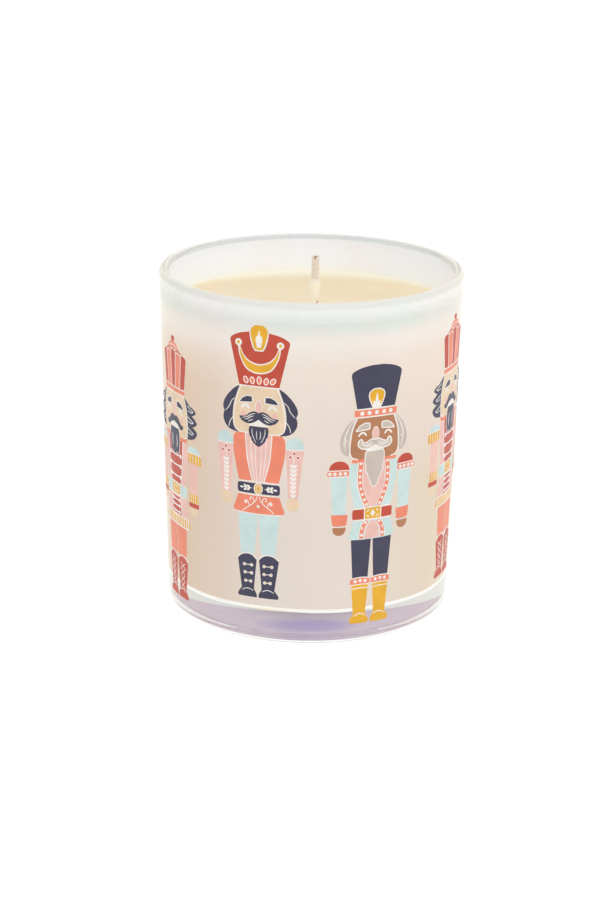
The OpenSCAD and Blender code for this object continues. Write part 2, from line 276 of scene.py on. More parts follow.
def glass_material():
    """Clear glass with a little milk in it, and more at the lip, where a painted grey line and a painted
    highlight run round its top. Light from the lamps passes it.
    """
    s = Shader("clear_glass", Roughness=0.0, IOR=1.5, Thin_Film_Thickness=330.0, Thin_Film_IOR=1.38)
    s.set("Transmission Weight", s.climb([
        (0.0, GLASS_CLEAR), (0.94, GLASS_CLEAR), (0.975, RIM_CLEAR), (1.0, RIM_CLEAR)]))
    body = s.speckle(30, GLASS_PALE, (1, 1, 1, 1))
    # painted shade and highlight: a grey line round the inner edge of the lip's top, then a white band
    # over it
    ring = s.ramp(s.around((0, 0), (RIM_R, RIM_R)), [
        (0.945, LIP_PAINTED_SHADE), (0.953, LIP_PAINTED_HIGHLIGHT), (0.978, LIP_PAINTED_HIGHLIGHT), (0.992, LIP_EDGE)])
    lip = s.ramp(s.along("Z", HEIGHT - 2, HEIGHT - 1), [(0.2, 0.0), (0.9, 1.0)])
    s.set("Base Color", s.mix(lip, body, ring))
    waves = s.mix(s.climb([(0.1, 0.0), (0.14, 1.0)]), s.noise(45, 1.0), FLAT)
    s.bump(waves, 0.06, 0.4)
    clear = s.add("ShaderNodeBsdfTransparent")
    path = s.add("ShaderNodeLightPath")
    shader = s.principled.outputs[0]
    for ray in ("Is Diffuse Ray", "Is Shadow Ray"):
        mix = s.add("ShaderNodeMixShader")
        s.link(path.outputs[ray], mix.inputs[0])
        s.link(shader, mix.inputs[1])
        s.link(clear.outputs[0], mix.inputs[2])
        shader = mix.outputs[0]
    s.link(shader, s.output.inputs["Surface"])
    return s.material


def pearl_material():
    """Milky lacquer: white over air, warmer where wax lies behind it, pale on the floor."""
    s = Shader("pearl_lacquer", Specular_IOR_Level=0.5)
    outside = s.climb([
        (0.06, FLOOR_WHITE), (0.096, FLOOR_WHITE), (0.106, WALL_LOW), (0.33, WALL_LOW),
        (0.68, WALL_MIDDLE), (0.82, WALL_HIGH), (0.885, WAX_LINE), (0.935, BAND), (1.0, BAND_TOP)])
    # painted reflection: the inner wall is creamier in a band just above the wax
    inside = s.climb([(0.1, FLOOR_WHITE), (0.125, WAX_GLOW), (0.886, WAX_GLOW),
                      (0.897, INNER_WAX_REFLECTION), (0.925, INNER_WHITE)])
    clouds = s.mix(1.0, s.ramp(s.noise(40, 1.0), [(0.5, 0.0), (0.62, 1.0)]),
                   s.climb([(0.9, 0.0), (0.93, 1.0)]), "MULTIPLY")
    shot = s.mix(clouds, outside, s.mix(1.0, outside, PEARL_GREEN, "MULTIPLY"))
    # painted shade: below the wax line the wall is darker and warmer towards its left side
    left_shade = s.mix(s.climb([(0.74, 0.0), (0.86, 1.0)]),
                 s.across([(0.13, PEARL_LEFT_SHADE), (0.37, PEARL_PLAIN)]), PEARL_PLAIN)
    cream = s.mix(s.climb([(0.45, 0.0), (0.6, 1.0)]),
                  s.across([(0.63, PEARL_PLAIN), (0.87, PEARL_CREAM)]), PEARL_PLAIN)
    sides = s.mix(1.0, s.mix(1.0, shot, left_shade, "MULTIPLY"), cream, "MULTIPLY")
    middle = FOOT_R - WALL - LINING_T / 2
    colour = s.mix(s.within(middle, (RIM_R - FOOT_R) / HEIGHT), sides, inside)
    streaks = s.ramp(s.noise(60, 2.0, (1, 1, 0.12)), [(0.45, 0.0), (0.75, 1.0)])
    s.set("Base Color", s.mix(streaks, colour, s.mix(1.0, colour, PEARL_ROSE, "MULTIPLY")))
    s.set("Roughness", s.speckle(120, 0.28, 0.42))
    s.bump(s.noise(90, 2.0), 0.05, 0.1)
    return s.material


def label_material():
    """White paper, tinted lilac over its front part, with a deeper spot that is soft at its edge."""
    s = Shader("lilac_label", Roughness=0.8)
    tinted = s.ramp(s.around((0, 100), (75, 102.5)), [(0.99, 0.0), (1.02, 1.0)])
    spot = s.ramp(s.around((0.5, -17), (12.5, 10)), [(0.45, 1.0), (1.15, 0.0)])
    lilac = s.speckle(300, LABEL_PALE, LABEL_LIGHT)
    s.set("Base Color", s.mix(tinted, LABEL_WHITE, s.mix(spot, lilac, LABEL_SPOT)))
    s.set("Roughness", s.speckle(900, 0.65, 0.9))
    s.bump(s.noise(1500), 0.2, 0.03)
    return s.material


def wax_material(name, colour, deep, edge):
    """Cream wax, with light inside it, faint frosting and shallow pits, and a painted highlight that
    makes it paler towards the back.
    """
    s = Shader(name, Subsurface_Weight=0.35, Subsurface_Scale=0.004, Roughness=0.45)
    s.principled.inputs["Subsurface Radius"].default_value = (1.0, 0.75, 0.45)
    body = s.mix(s.ramp(s.noise(60), [(0.35, 0.0), (0.75, 1.0)]), colour, deep)
    # painted highlight: the wax is paler at its back edge
    back_highlight_mask = s.ramp(s.around((0, -14), (50, 50)), [(0.91, 0.0), (1.0, 1.0)])
    s.set("Base Color", s.mix(back_highlight_mask, body, edge))
    s.set("Roughness", s.speckle(300, 0.38, 0.55))
    s.bump(s.noise(160, 4.0), 0.15, 0.3)
    return s.material


def cotton_material():
    s = Shader("waxed_cotton", Roughness=0.6, Sheen_Weight=0.05)
    fibre = s.noise(2500, 2.0, (1, 1, 0.15))
    s.set("Base Color", s.ramp(fibre, [(0.3, srgb(220, 202, 180)), (0.7, srgb(237, 224, 205))]))
    s.bump(fibre, 0.25, 0.05)
    return s.material


def paper_material(name, dark, light, grain):
    s = Shader(name, Roughness=0.8)
    s.set("Base Color", s.speckle(grain, dark, light))
    s.set("Roughness", s.speckle(grain * 2, 0.65, 0.9))
    s.bump(s.noise(grain * 3), 0.2, 0.03)
    return s.material


def metal_material():
    s = Shader("tinned_steel", Metallic=1.0, Roughness=0.3)
    drawn = s.noise(900, 2.0, (1, 1, 0.1))
    s.set("Base Color", s.ramp(drawn, [(0.3, srgb(188, 190, 194)), (0.7, srgb(222, 223, 226))]))
    s.set("Roughness", s.ramp(drawn, [(0.3, 0.22), (0.7, 0.42)]))
    s.bump(drawn, 0.1, 0.02)
    return s.material


def foam_material():
    s = Shader("white_foam", Roughness=0.9)
    cell = s.add("ShaderNodeTexVoronoi")
    cell.inputs["Scale"].default_value = 1800
    s.link(s.where, cell.inputs["Vector"])
    # painted shade: each cell is darker in its hollow, where the bump sinks
    s.set("Base Color", s.ramp(cell.outputs["Distance"],
                               [(0.0, srgb(205, 205, 200)), (0.6, srgb(240, 240, 236))]))
    s.bump(cell.outputs["Distance"], 0.5, 0.15)
    return s.material


def ink_material(name, colour):
    """Screen ink: slightly uneven in tone, with the faint texture of the mesh it came through."""
    s = Shader(name, Specular_IOR_Level=0.5)
    thin = tuple(min(1.0, c * 1.06 + 0.006) for c in colour[:3]) + (1.0,)
    dense = tuple(c * 0.93 for c in colour[:3]) + (1.0,)
    s.set("Base Color", s.speckle(260, dense, thin, 5.0))
    s.set("Roughness", s.speckle(900, 0.34, 0.5))
    s.bump(s.noise(3500, 2.0), 0.12, 0.02)
    return s.material


FLAT = (0.5, 0.5, 0.5, 1.0)      # an even height for a bump
GLASS_CLEAR = 0.9
RIM_CLEAR = 0.5
GLASS_PALE = srgb(250, 251, 249)
# painted shade and painted highlight for the lip of the glass
LIP_PAINTED_SHADE = srgb(204, 207, 203)
LIP_PAINTED_HIGHLIGHT = srgb(246, 246, 241)
LIP_EDGE = srgb(241, 241, 236)
FLOOR_WHITE = srgb(243, 244, 239)
WALL_LOW = srgb(225, 210, 198)
WALL_MIDDLE = srgb(230, 214, 201)
WALL_HIGH = srgb(235, 221, 206)
WAX_LINE = srgb(240, 232, 224)
BAND = srgb(225, 225, 222)
BAND_TOP = srgb(232, 230, 227)
WAX_GLOW = srgb(250, 240, 212)
INNER_WHITE = srgb(243, 241, 237)
# painted reflection of the wax on the inner wall
INNER_WAX_REFLECTION = srgb(244, 242, 231)
LABEL_PALE = srgb(194, 177, 188)
LABEL_LIGHT = srgb(202, 186, 195)
LABEL_SPOT = srgb(160, 144, 184)
LABEL_WHITE = srgb(222, 224, 218)
# painted shade for the left side of the wall
PEARL_LEFT_SHADE = srgb(244, 231, 212)
PEARL_CREAM = srgb(250, 248, 231)
PEARL_PLAIN = srgb(254, 254, 252)
PEARL_ROSE = srgb(255, 249, 249)
PEARL_GREEN = srgb(244, 254, 249)
WAX = srgb(243, 225, 190)
WAX_DEEP = srgb(239, 218, 182)
# painted highlight at the back edge of the wax
WAX_BACK_HIGHLIGHT = srgb(244, 238, 215)
SLEEVE = srgb(242, 230, 208)
SLEEVE_DEEP = srgb(235, 219, 194)

# ---- glass, lining and wax -------------------------------------------------------------


def floor_corner(drop, steps):
    """The fillet between the floor of the hollow and its wall, drawn in by drop."""
    return arc(FLOOR_R, BASE_T + CORNER_R, CORNER_R - drop, -90, 0, steps)


def base_wave(angle, r, z):
    """The inside of the base isn't quite even, as in any moulded tumbler."""
    if z > BASE_T + 3 or z < BASE_T - 0.5:
        return r, z
    wave = 0.22 * math.sin(3 * angle + 0.6) + 0.14 * math.sin(7 * angle + 2.1)
    near_wall = min(1.0, max(0.0, (r - 22) / 12))
    return r, z + wave * near_wall * max(0.0, 1 - abs(z - BASE_T) / 3)


def make_glass():
    rim = WALL / 2
    ease = 1.2          # radius of the two rounds at the edge of the recess under the base
    shoulder = PUNT_R - 2.2
    profile = [(0, PUNT_DEPTH)]
    profile += spread(profile[-1], (shoulder, PUNT_DEPTH), 8)
    profile += arc(shoulder, PUNT_DEPTH - ease, ease, 90, 45, 4)[1:]
    profile += arc(PUNT_R + 0.5, ease, ease, 225, 270, 4)
    profile += spread(profile[-1], (FOOT_R - HEEL_R, 0), 3)
    profile += arc(FOOT_R - HEEL_R, HEEL_R, HEEL_R, -90, 0, 14)[1:]
    profile += spread(profile[-1], (outer_r(HEIGHT - rim), HEIGHT - rim), 12)
    profile += arc(outer_r(HEIGHT - rim) - rim, HEIGHT - rim, rim, 0, 180, 18)[1:]
    profile += spread(profile[-1], (inner_r(BASE_T + CORNER_R), BASE_T + CORNER_R), 14)
    profile += list(reversed(floor_corner(0, 10)))[1:]
    profile += spread(profile[-1], (0, BASE_T), 10)
    piece("glass_tumbler_body", *lathe(profile, base_wave), glass_material(), "glass", "glass_tumbler")


def make_lining():
    """A closed shell of lacquer. Its outer face is sunk into the glass by BOND."""
    floor = [0] + [r for r, _ in spread((0, 0), (FLOOR_R, 0), 6)]
    inside = [(r, BASE_T + LINING_T) for r in floor] + floor_corner(LINING_T, 10)[1:]
    inside += spread(inside[-1], (inner_r(LINING_TOP) - LINING_T, LINING_TOP - 0.1), 14)
    outside = [(r, BASE_T - BOND) for r in floor] + floor_corner(-BOND, 10)[1:]
    outside += spread(outside[-1], (inner_r(LINING_TOP) + BOND, LINING_TOP), 14)
    coat = piece("pearl_lining_coat", *lathe(outside + list(reversed(inside)), base_wave),
                 pearl_material(), "pearl", "pearl_lining", smooth_angle=60)
    let_light_in(coat)


def make_wax():
    """The poured wax: a climb at the wall, a faint hollow towards the wick and a small collar."""
    skin = LINING_T + WAX_GAP
    edge = inner_r(WAX_LEVEL) - LINING_T - WAX_GAP
    profile = [(0, BASE_T + skin)]
    profile += spread(profile[-1], (FLOOR_R, BASE_T + skin), 6)
    profile += floor_corner(skin, 10)[1:]
    profile += spread(profile[-1], (edge, WAX_LEVEL + MENISCUS), 12)
    climb = 3.2         # width of the meniscus
    climb_steps, top_steps = 12, 28
    for i in range(1, climb_steps + 1):
        t = i / climb_steps
        profile.append((edge - climb * t, WAX_LEVEL + MENISCUS * (1 - t) ** 3))
    for i in range(1, top_steps + 1):
        r = (edge - climb) * (1 - i / top_steps)
        dip = -0.12 * math.exp(-((r - 14) / 9) ** 2)
        collar = 0.45 * math.exp(-(r / 2.6) ** 2)
        profile.append((r, WAX_LEVEL + dip + collar))

    def ripple(angle, r, z):
        if z < WAX_LEVEL - 0.5 or r > edge - 0.4:
            return r, z
        wave = 0.05 * math.sin(2 * angle + r / 6) + 0.03 * math.sin(5 * angle - r / 3)
        return r, z + wave * min(1.0, r / 8)

    wax = wax_material("cream_wax", WAX, WAX_DEEP, WAX_BACK_HIGHLIGHT)
    fill = piece("poured_wax", *lathe(profile, ripple), wax, "wax", "wax_fill", smooth_angle=60)
    let_light_in(fill)


# ---- wick ------------------------------------------------------------------------------


def wick_line(z):
    """Where the middle of the wick is at height z: it leans a little above its wax sleeve."""
    t = min(1.0, max(0.0, (z - WAX_LEVEL - 5.5) / 3.5))
    return WICK_X - 0.1 + 0.08 * t * t * (3 - 2 * t), 0.0


def pinch(z):
    """The wick is drawn in where the wax grips it, just above the surface."""
    return 1 - 0.14 * math.exp(-((z - WAX_LEVEL - 1.5) / 2.2) ** 2)


def ring(x, y, z, radius, sides):
    """One level ring of points. radius is a number, or a function of the angle."""
    angles = [math.tau * k / sides for k in range(sides)]
    radii = [radius(a) if callable(radius) else radius for a in angles]
    return [((x + r * math.cos(a)) * MM, (y + r * math.sin(a)) * MM, z * MM)
            for a, r in zip(angles, radii)]


def ring_faces(rings, sides):
    """The faces of a closed tube made of rings of points, from the lowest up."""
    faces = []
    for low in range(0, (rings - 1) * sides, sides):
        for k in range(sides):
            n = (k + 1) % sides
            faces.append([low + k, low + n, low + sides + n, low + sides + k])
    faces.append(list(range(sides))[::-1])
    faces.append([(rings - 1) * sides + k for k in range(sides)])
    return faces


def tube(centres, radii, sides):
    """An upright tube with level rings. Each centre is (x, y, z) in millimetres."""
    vertices = [v for centre, r in zip(centres, radii) for v in ring(*centre, r, sides)]
    return vertices, ring_faces(len(centres), sides)


def swept(centres, radii, sides):
    """A tube whose rings stand across its path, for the strands of the braid."""
    vertices = []
    for i, c in enumerate(centres):
        before, after = centres[max(i - 1, 0)], centres[min(i + 1, len(centres) - 1)]
        along = (after - before).normalized()
        side = along.cross(Vector((0, 0, 1))).normalized()
        up = side.cross(along)
        for k in range(sides):
            a = math.tau * k / sides
            vertices.append((c + radii[i] * (math.cos(a) * side + math.sin(a) * up)) * MM)
    return vertices, [face[::-1] for face in ring_faces(len(centres), sides)]


def join(parts):
    vertices, faces = [], []
    for v, f in parts:
        start = len(vertices)
        vertices += v
        faces += [[i + start for i in face] for face in f]
    return vertices, faces


def make_braid():
    """Ten strands, five each way, that pass over and under each other round the core."""
    strands, pitch, steps = 5, 5.6, 20
    lay, weave, thickness = 0.62, 0.05, 0.4
    cut_drop, cut_slant = 0.45, 0.35        # the cut slants to the front
    count = int((WICK_TOP - WICK_BOTTOM) / pitch * steps)
    parts = []
    for way in (-1, 1):
        for s in range(strands):
            path = []
            for i in range(count + 1):
                z = WICK_BOTTOM + (WICK_TOP - 0.1 - WICK_BOTTOM) * i / count
                turn = i / steps
                a = way * math.tau * (turn + s / strands)
                r = pinch(z) * (lay + way * weave * math.cos(math.tau * turn * strands))
                x, y = wick_line(z)
                if z < WICK_TOP - cut_drop + cut_slant * math.sin(a):
                    path.append(Vector((x + r * math.cos(a), y + r * math.sin(a), z)))
            parts.append(swept(path, [thickness * pinch(p.z) for p in path], 10))
    piece("wick_braided_cotton", *join(parts), cotton_material(), "wick_cotton", "wick_braid",
          smooth_angle=60)


def make_core():
    steps, core_top = 120, WICK_TOP - 0.4
    levels = [WICK_BOTTOM + (core_top - WICK_BOTTOM) * i / steps for i in range(steps + 1)]
    core = tube([(*wick_line(z), z) for z in levels], [0.33] * len(levels), 14)
    strand = [(WICK_X + 0.5 + 0.16 * t, -1.02 + 0.08 * t, WAX_LEVEL - WAX_ROOT + 2.4 * t)
              for t in (0, 0.2, 0.4, 0.6, 0.8, 1)]
    loose = tube(strand, [0.16, 0.16, 0.15, 0.13, 0.09, 0.03], 8)   # it shows at the sleeve's slit
    brown = paper_material("brown_paper", srgb(140, 92, 60), srgb(186, 136, 96), 1800)
    piece("wick_paper_core", *join([core, loose]), brown, "wick_paper", "wick_core")


def make_coat():
    """The wax that clings to the lower half of the bare wick, with its lumps and one slit."""
    steps, sides, vertices = 48, 40, []
    bottom = WAX_LEVEL - WAX_ROOT
    for i in range(steps + 1):
        t = i / steps
        z = bottom + (COAT_TOP - bottom) * t
        flare = 0.35 * math.exp(-(z - bottom) / 0.4)
        swell = 0.52 * math.exp(-((z - COAT_TOP + 1.7) / 2.1) ** 2)
        taper = 1.0 if t < 0.72 else 1 - 0.22 * ((t - 0.72) / 0.28) ** 2

        def radius(a):
            lump = 0.07 * math.sin(2 * a + z * 0.9) + 0.04 * math.sin(5 * a - z * 1.7)
            slit = -0.3 * math.exp(-((a - 5.35) / 0.12) ** 2) * max(0.0, 1 - (z - bottom) / 2.6)
            return (0.92 + swell + lump * 0.6) * taper + flare + slit

        vertices += ring(*wick_line(z), z, radius, sides)
    wax = wax_material("wick_wax", SLEEVE, SLEEVE_DEEP, WAX_BACK_HIGHLIGHT)
    piece("wick_wax_sleeve", vertices, ring_faces(steps + 1, sides), wax, "wick_wax", "wick_wax_coat")


def make_label():
    """A plain round label, its glued face against the glass of the recess."""
    top, bottom = PUNT_DEPTH + BOND, PUNT_DEPTH - 0.13
    profile = [(0, bottom), (LABEL_R - 0.1, bottom), (LABEL_R, bottom + 0.05), (LABEL_R, top - 0.03),
               (LABEL_R - 0.05, top), (0, top)]
    piece("base_label_paper", *lathe(profile), label_material(), "label_paper", "base_label")


# ---- flat shapes for the print ---------------------------------------------------------


def curve(points, steps=4, closed=False):
    """A smooth line through the points."""
    n = len(points)
    out = []
    spans = n if closed else n - 1
    for i in range(spans):
        if closed:
            p = [points[(i + k - 1) % n] for k in range(4)]
        else:
            p = [points[max(i - 1, 0)], points[i], points[i + 1], points[min(i + 2, n - 1)]]
        for s in range(steps):
            t = s / steps
            out.append(tuple(0.5 * (2 * p[1][k] + (p[2][k] - p[0][k]) * t
                       + (2 * p[0][k] - 5 * p[1][k] + 4 * p[2][k] - p[3][k]) * t * t
                       + (3 * p[1][k] - p[0][k] - 3 * p[2][k] + p[3][k]) * t ** 3)
                       for k in range(2)))
    if not closed:
        out.append(points[-1])
    return out


def flip(points):
    return [(-x, y) for x, y in reversed(points)]


def sym(half):
    """A closed outline from its right half."""
    return half + flip(half)


def rule(half, end_y, middle_y, width):
    """A line across the figure, bent a little up or down in its middle."""
    return line([(-half, end_y), (0, middle_y), (half, end_y)], width)


def block(half, low, high, corner):
    """A box across the middle of the figure, with rounded corners."""
    return rounded(sym([(half, low), (half, high)]), corner)


def swag(upper, lower):
    """A hanging crescent, from its two edges, each drawn from the middle to the right."""
    return curve(flip(upper) + upper[1:]) + curve(flip(lower) + lower[1:])[::-1]


def rounded(points, r, steps=4):
    """A closed outline with its corners rounded to radius r, or less where a side is short."""
    out = []
    n = len(points)
    for i in range(n):
        p, a, b = Vector(points[i]), Vector(points[i - 1]), Vector(points[(i + 1) % n])
        u, v = (a - p), (b - p)
        cut = min(r, u.length * 0.45, v.length * 0.45)
        start, end = p + u.normalized() * cut, p + v.normalized() * cut
        for s in range(steps + 1):
            t = s / steps
            out.append(tuple((1 - t) ** 2 * start + 2 * t * (1 - t) * p + t * t * end))
    return out


def oval(x, y, rx, ry, tilt=0.0, steps=20):
    c, s = math.cos(math.radians(tilt)), math.sin(math.radians(tilt))
    out = []
    for i in range(steps):
        a = math.tau * i / steps
        u, v = rx * math.cos(a), ry * math.sin(a)
        out.append((x + u * c - v * s, y + u * s + v * c))
    return out


def disc(x, y, r, steps=16):
    return oval(x, y, r, r, 0, steps)


def line(points, width, taper=0.0, smooth=True):
    """An inked line through the points, thinner towards its ends where taper is above 0."""
    path = curve(points) if smooth and len(points) > 2 else list(points)
    n = len(path) - 1
    left, right = [], []
    for i, p in enumerate(path):
        a, b = Vector(path[max(i - 1, 0)]), Vector(path[min(i + 1, n)])
        along = (b - a).normalized()
        t = i / n
        half = width / 2 * (1 - taper * abs(2 * t - 1) ** 2)
        side = Vector((-along.y, along.x)) * half
        left.append(tuple(Vector(p) + side))
        right.append(tuple(Vector(p) - side))
    return right + left[::-1]


def band(outline, width):
    """A closed inked line round an outline: the outline and a hole, for filling between."""
    n = len(outline)
    outer, inner = [], []
    for i, p in enumerate(outline):
        a, b = Vector(outline[i - 1]), Vector(outline[(i + 1) % n])
        along = (b - a).normalized()
        side = Vector((-along.y, along.x)) * width / 2
        outer.append(tuple(Vector(p) - side))
        inner.append(tuple(Vector(p) + side))
    return [outer, inner]


# ---- the print -------------------------------------------------------------------------

SHEEN = 0.03        # what an ink's own sheen adds to its colour


def ink_colour(red, green, blue):
    """The colour of an ink that looks like this once its own sheen lies over it."""
    return tuple(max(0.006, (c - SHEEN) * (1 - SHEEN)) for c in srgb(red, green, blue)[:3]) + (1.0,)


INKS = {
    "ink_white_base": ink_colour(250, 228, 204),
    "ink_navy": ink_colour(72, 71, 91),
    "ink_red": ink_colour(198, 82, 64),
    "ink_coral": ink_colour(240, 140, 112),
    "ink_pink": ink_colour(240, 194, 183),
    "ink_mint": ink_colour(205, 226, 223),
    "ink_gold": ink_colour(234, 177, 34),
    "ink_tan": ink_colour(236, 210, 178),
    "ink_brown": ink_colour(184, 129, 94),
    "ink_grey": ink_colour(204, 190, 178),
    "ink_white_lines": ink_colour(244, 238, 231),
}
BASE, FIELD, DETAIL, FINE, OVER, LAST = range(6)
PASS_TOP = [0.015, 0.03, 0.045, 0.06, 0.075, 0.09]   # how far each pass stands off the glass
SINK = 0.01                              # how far the ink's underside is set into the glass
STRIP = 1.25                             # widest flat strip of a printed shape
NARROW = 1.6                             # a shape no wider than this stays flat


class Figure:
    """One printed design: its marks, by ink."""

    def __init__(self):
        self.marks = {ink: [] for ink in INKS}

    def put(self, ink, level, *outlines):
        for outline in outlines:
            loops = outline if isinstance(outline[0], list) else [outline]
            self.marks["ink_" + ink].append((level, loops))
            if level == FIELD and ink != "white_base":
                self.marks["ink_white_base"].append((BASE, loops))

    def both(self, ink, level, *outlines):
        """Puts each outline on both sides of the figure."""
        for outline in outlines:
            self.put(ink, level, outline)
            loops = outline if isinstance(outline[0], list) else [outline]
            self.put(ink, level, [flip(loop) for loop in loops])

    def white(self, level, *outlines):
        """White line work."""
        self.put("white_lines", level, *outlines)

    def whites(self, level, *outlines):
        """White line work on both sides of the figure."""
        self.both("white_lines", level, *outlines)

    def dots(self, ink, level, centres, r):
        for x, y in centres:
            self.both(ink, level, disc(x, y, r, 14))


def face_outline(top_y, half_top, bottom_y, half_low):
    return curve([(half_top, top_y), (half_top + 1.2, top_y - 3.2), (half_low, bottom_y + 4.4),
                  (half_low, bottom_y + 1.9), (half_low - 0.7, bottom_y + 0.5),
                  (half_low - 2.2, bottom_y)])


def draw_head(f, ink, face, edge):
    """A face from its right outline, with a white edge."""
    f.put(ink, FIELD, sym(face))
    f.whites(DETAIL, line(face, edge, smooth=False))


def draw_face(f, feature_y, hair, brow_edge, eye_line):
    """Brows, closed eyes, nose and cheeks. feature_y is the height of the eyes."""
    y = feature_y
    brow = rounded([(1.65, y + 1.25), (1.7, y + 2.85), (3.1, y + 2.95), (4.4, y + 2.3), (5.5, y + 0.9)],
                   0.3)
    f.both(hair, DETAIL, brow)
    f.whites(FINE, band(brow, brow_edge))
    f.whites(DETAIL, line([(2.6, y - 0.45), (3.0, y + 0.2), (3.6, y + 0.4), (4.2, y + 0.15),
            (4.7, y - 0.5)], eye_line, 0.15))
    f.white(DETAIL, oval(0, y - 0.1, 1.0, 1.95))
    f.put("pink", FINE, oval(0, y - 0.1, 0.82, 1.75))


def draw_drooping_moustache(f, ink, y):
    """Two lobes that hang down, with their strands. y is the dip between the lobes."""
    f.put(ink, OVER, sym(curve([(0, y), (1.0, y + 0.4), (2.3, y), (3.6, y - 1.0), (5.3, y - 1.2)])
            + curve([(5.15, y - 1.7), (4.5, y - 2.4), (3.3, y - 2.9), (2.2, y - 2.9), (1.0, y - 2.4),
                     (0, y - 1.7)])))
    f.whites(LAST, line([(0.9, y - 0.1), (2.0, y - 0.5), (3.1, y - 1.2), (4.5, y - 1.6)], 0.22, 0.6),
             line([(1.2, y - 0.8), (2.2, y - 1.2), (3.0, y - 1.75), (3.9, y - 2.0)], 0.22, 0.6),
             line([(1.5, y - 1.7), (2.2, y - 2.1), (2.9, y - 2.35)], 0.2, 0.6))


def draw_curled_moustache(f, ink, y):
    """Two lobes with turned-up tips, outlined in white. y is the dip between the lobes."""
    lobes = sym(curve([(0, y), (1.1, y + 0.1), (2.2, y - 0.5), (3.3, y - 0.7), (3.7, y + 0.1),
                       (4.2, y + 0.2), (4.7, y - 0.6), (4.6, y - 1.5), (3.7, y - 2.2), (2.2, y - 2.4),
                       (0.9, y - 2.0), (0, y - 1.5)]))
    f.put(ink, OVER, lobes)
    f.white(LAST, band(lobes, 0.34))
    f.whites(LAST, line([(0.7, y - 0.6), (1.6, y - 1.0), (3.0, y - 1.4), (4.0, y - 0.9)], 0.26, 0.6),
             line([(0.6, y - 1.2), (1.6, y - 1.6), (2.8, y - 1.8)], 0.26, 0.6))


def draw_arm(f, cap_ink, sleeve_ink, hand_ink, cap, sleeve, hand_y):
    """A domed shoulder cap, a tapered sleeve and a round hand, on each side. cap is its foot,
    half width and height; sleeve is its lower end and its half widths at the top and there."""
    x = 9.5
    cap_y, cap_half, cap_height = cap
    cuff_y, wide, narrow = sleeve
    half_circle = arc(0, 0, 1, 180, 0, 16)
    dome = [(x + cap_half * a, cap_y + cap_height * max(b, 0.0) ** 0.85) for a, b in half_circle]
    f.both(hand_ink, FIELD, disc(x - 0.35, hand_y, 1.75, 24))
    f.both(sleeve_ink, FIELD, rounded([(x - wide, cap_y - 0.15), (x + wide, cap_y - 0.15),
            (x + narrow - 0.3, cuff_y), (x - narrow - 0.3, cuff_y)], 0.3))
    f.both(cap_ink, FIELD, dome)


def draw_boots(f, ink):
    boot = curve([(0.35, 10.5), (1.4, 11.5), (2.9, 11.9), (4.5, 11.5), (5.75, 10.4)]) + [(4.75, 3.4)] \
        + curve([(4.6, 2.4), (5.3, 1.5), (5.75, 0.6), (5.5, 0.05)]) \
        + curve([(0.25, 0.05), (0.3, 1.0), (1.05, 2.3)]) + [(1.0, 3.4)]
    f.both(ink, FIELD, boot)
    f.whites(DETAIL, line([(0.4, 10.7), (1.4, 11.65), (2.9, 12.05), (4.5, 11.65), (5.7, 10.7)], 0.3))


def ankle(f, y, width=0.2):
    f.whites(DETAIL, line([(1.25, y - 0.35), (2.2, y + 0.15), (3.3, y + 0.15), (4.5, y - 0.45)], width,
            0.4))


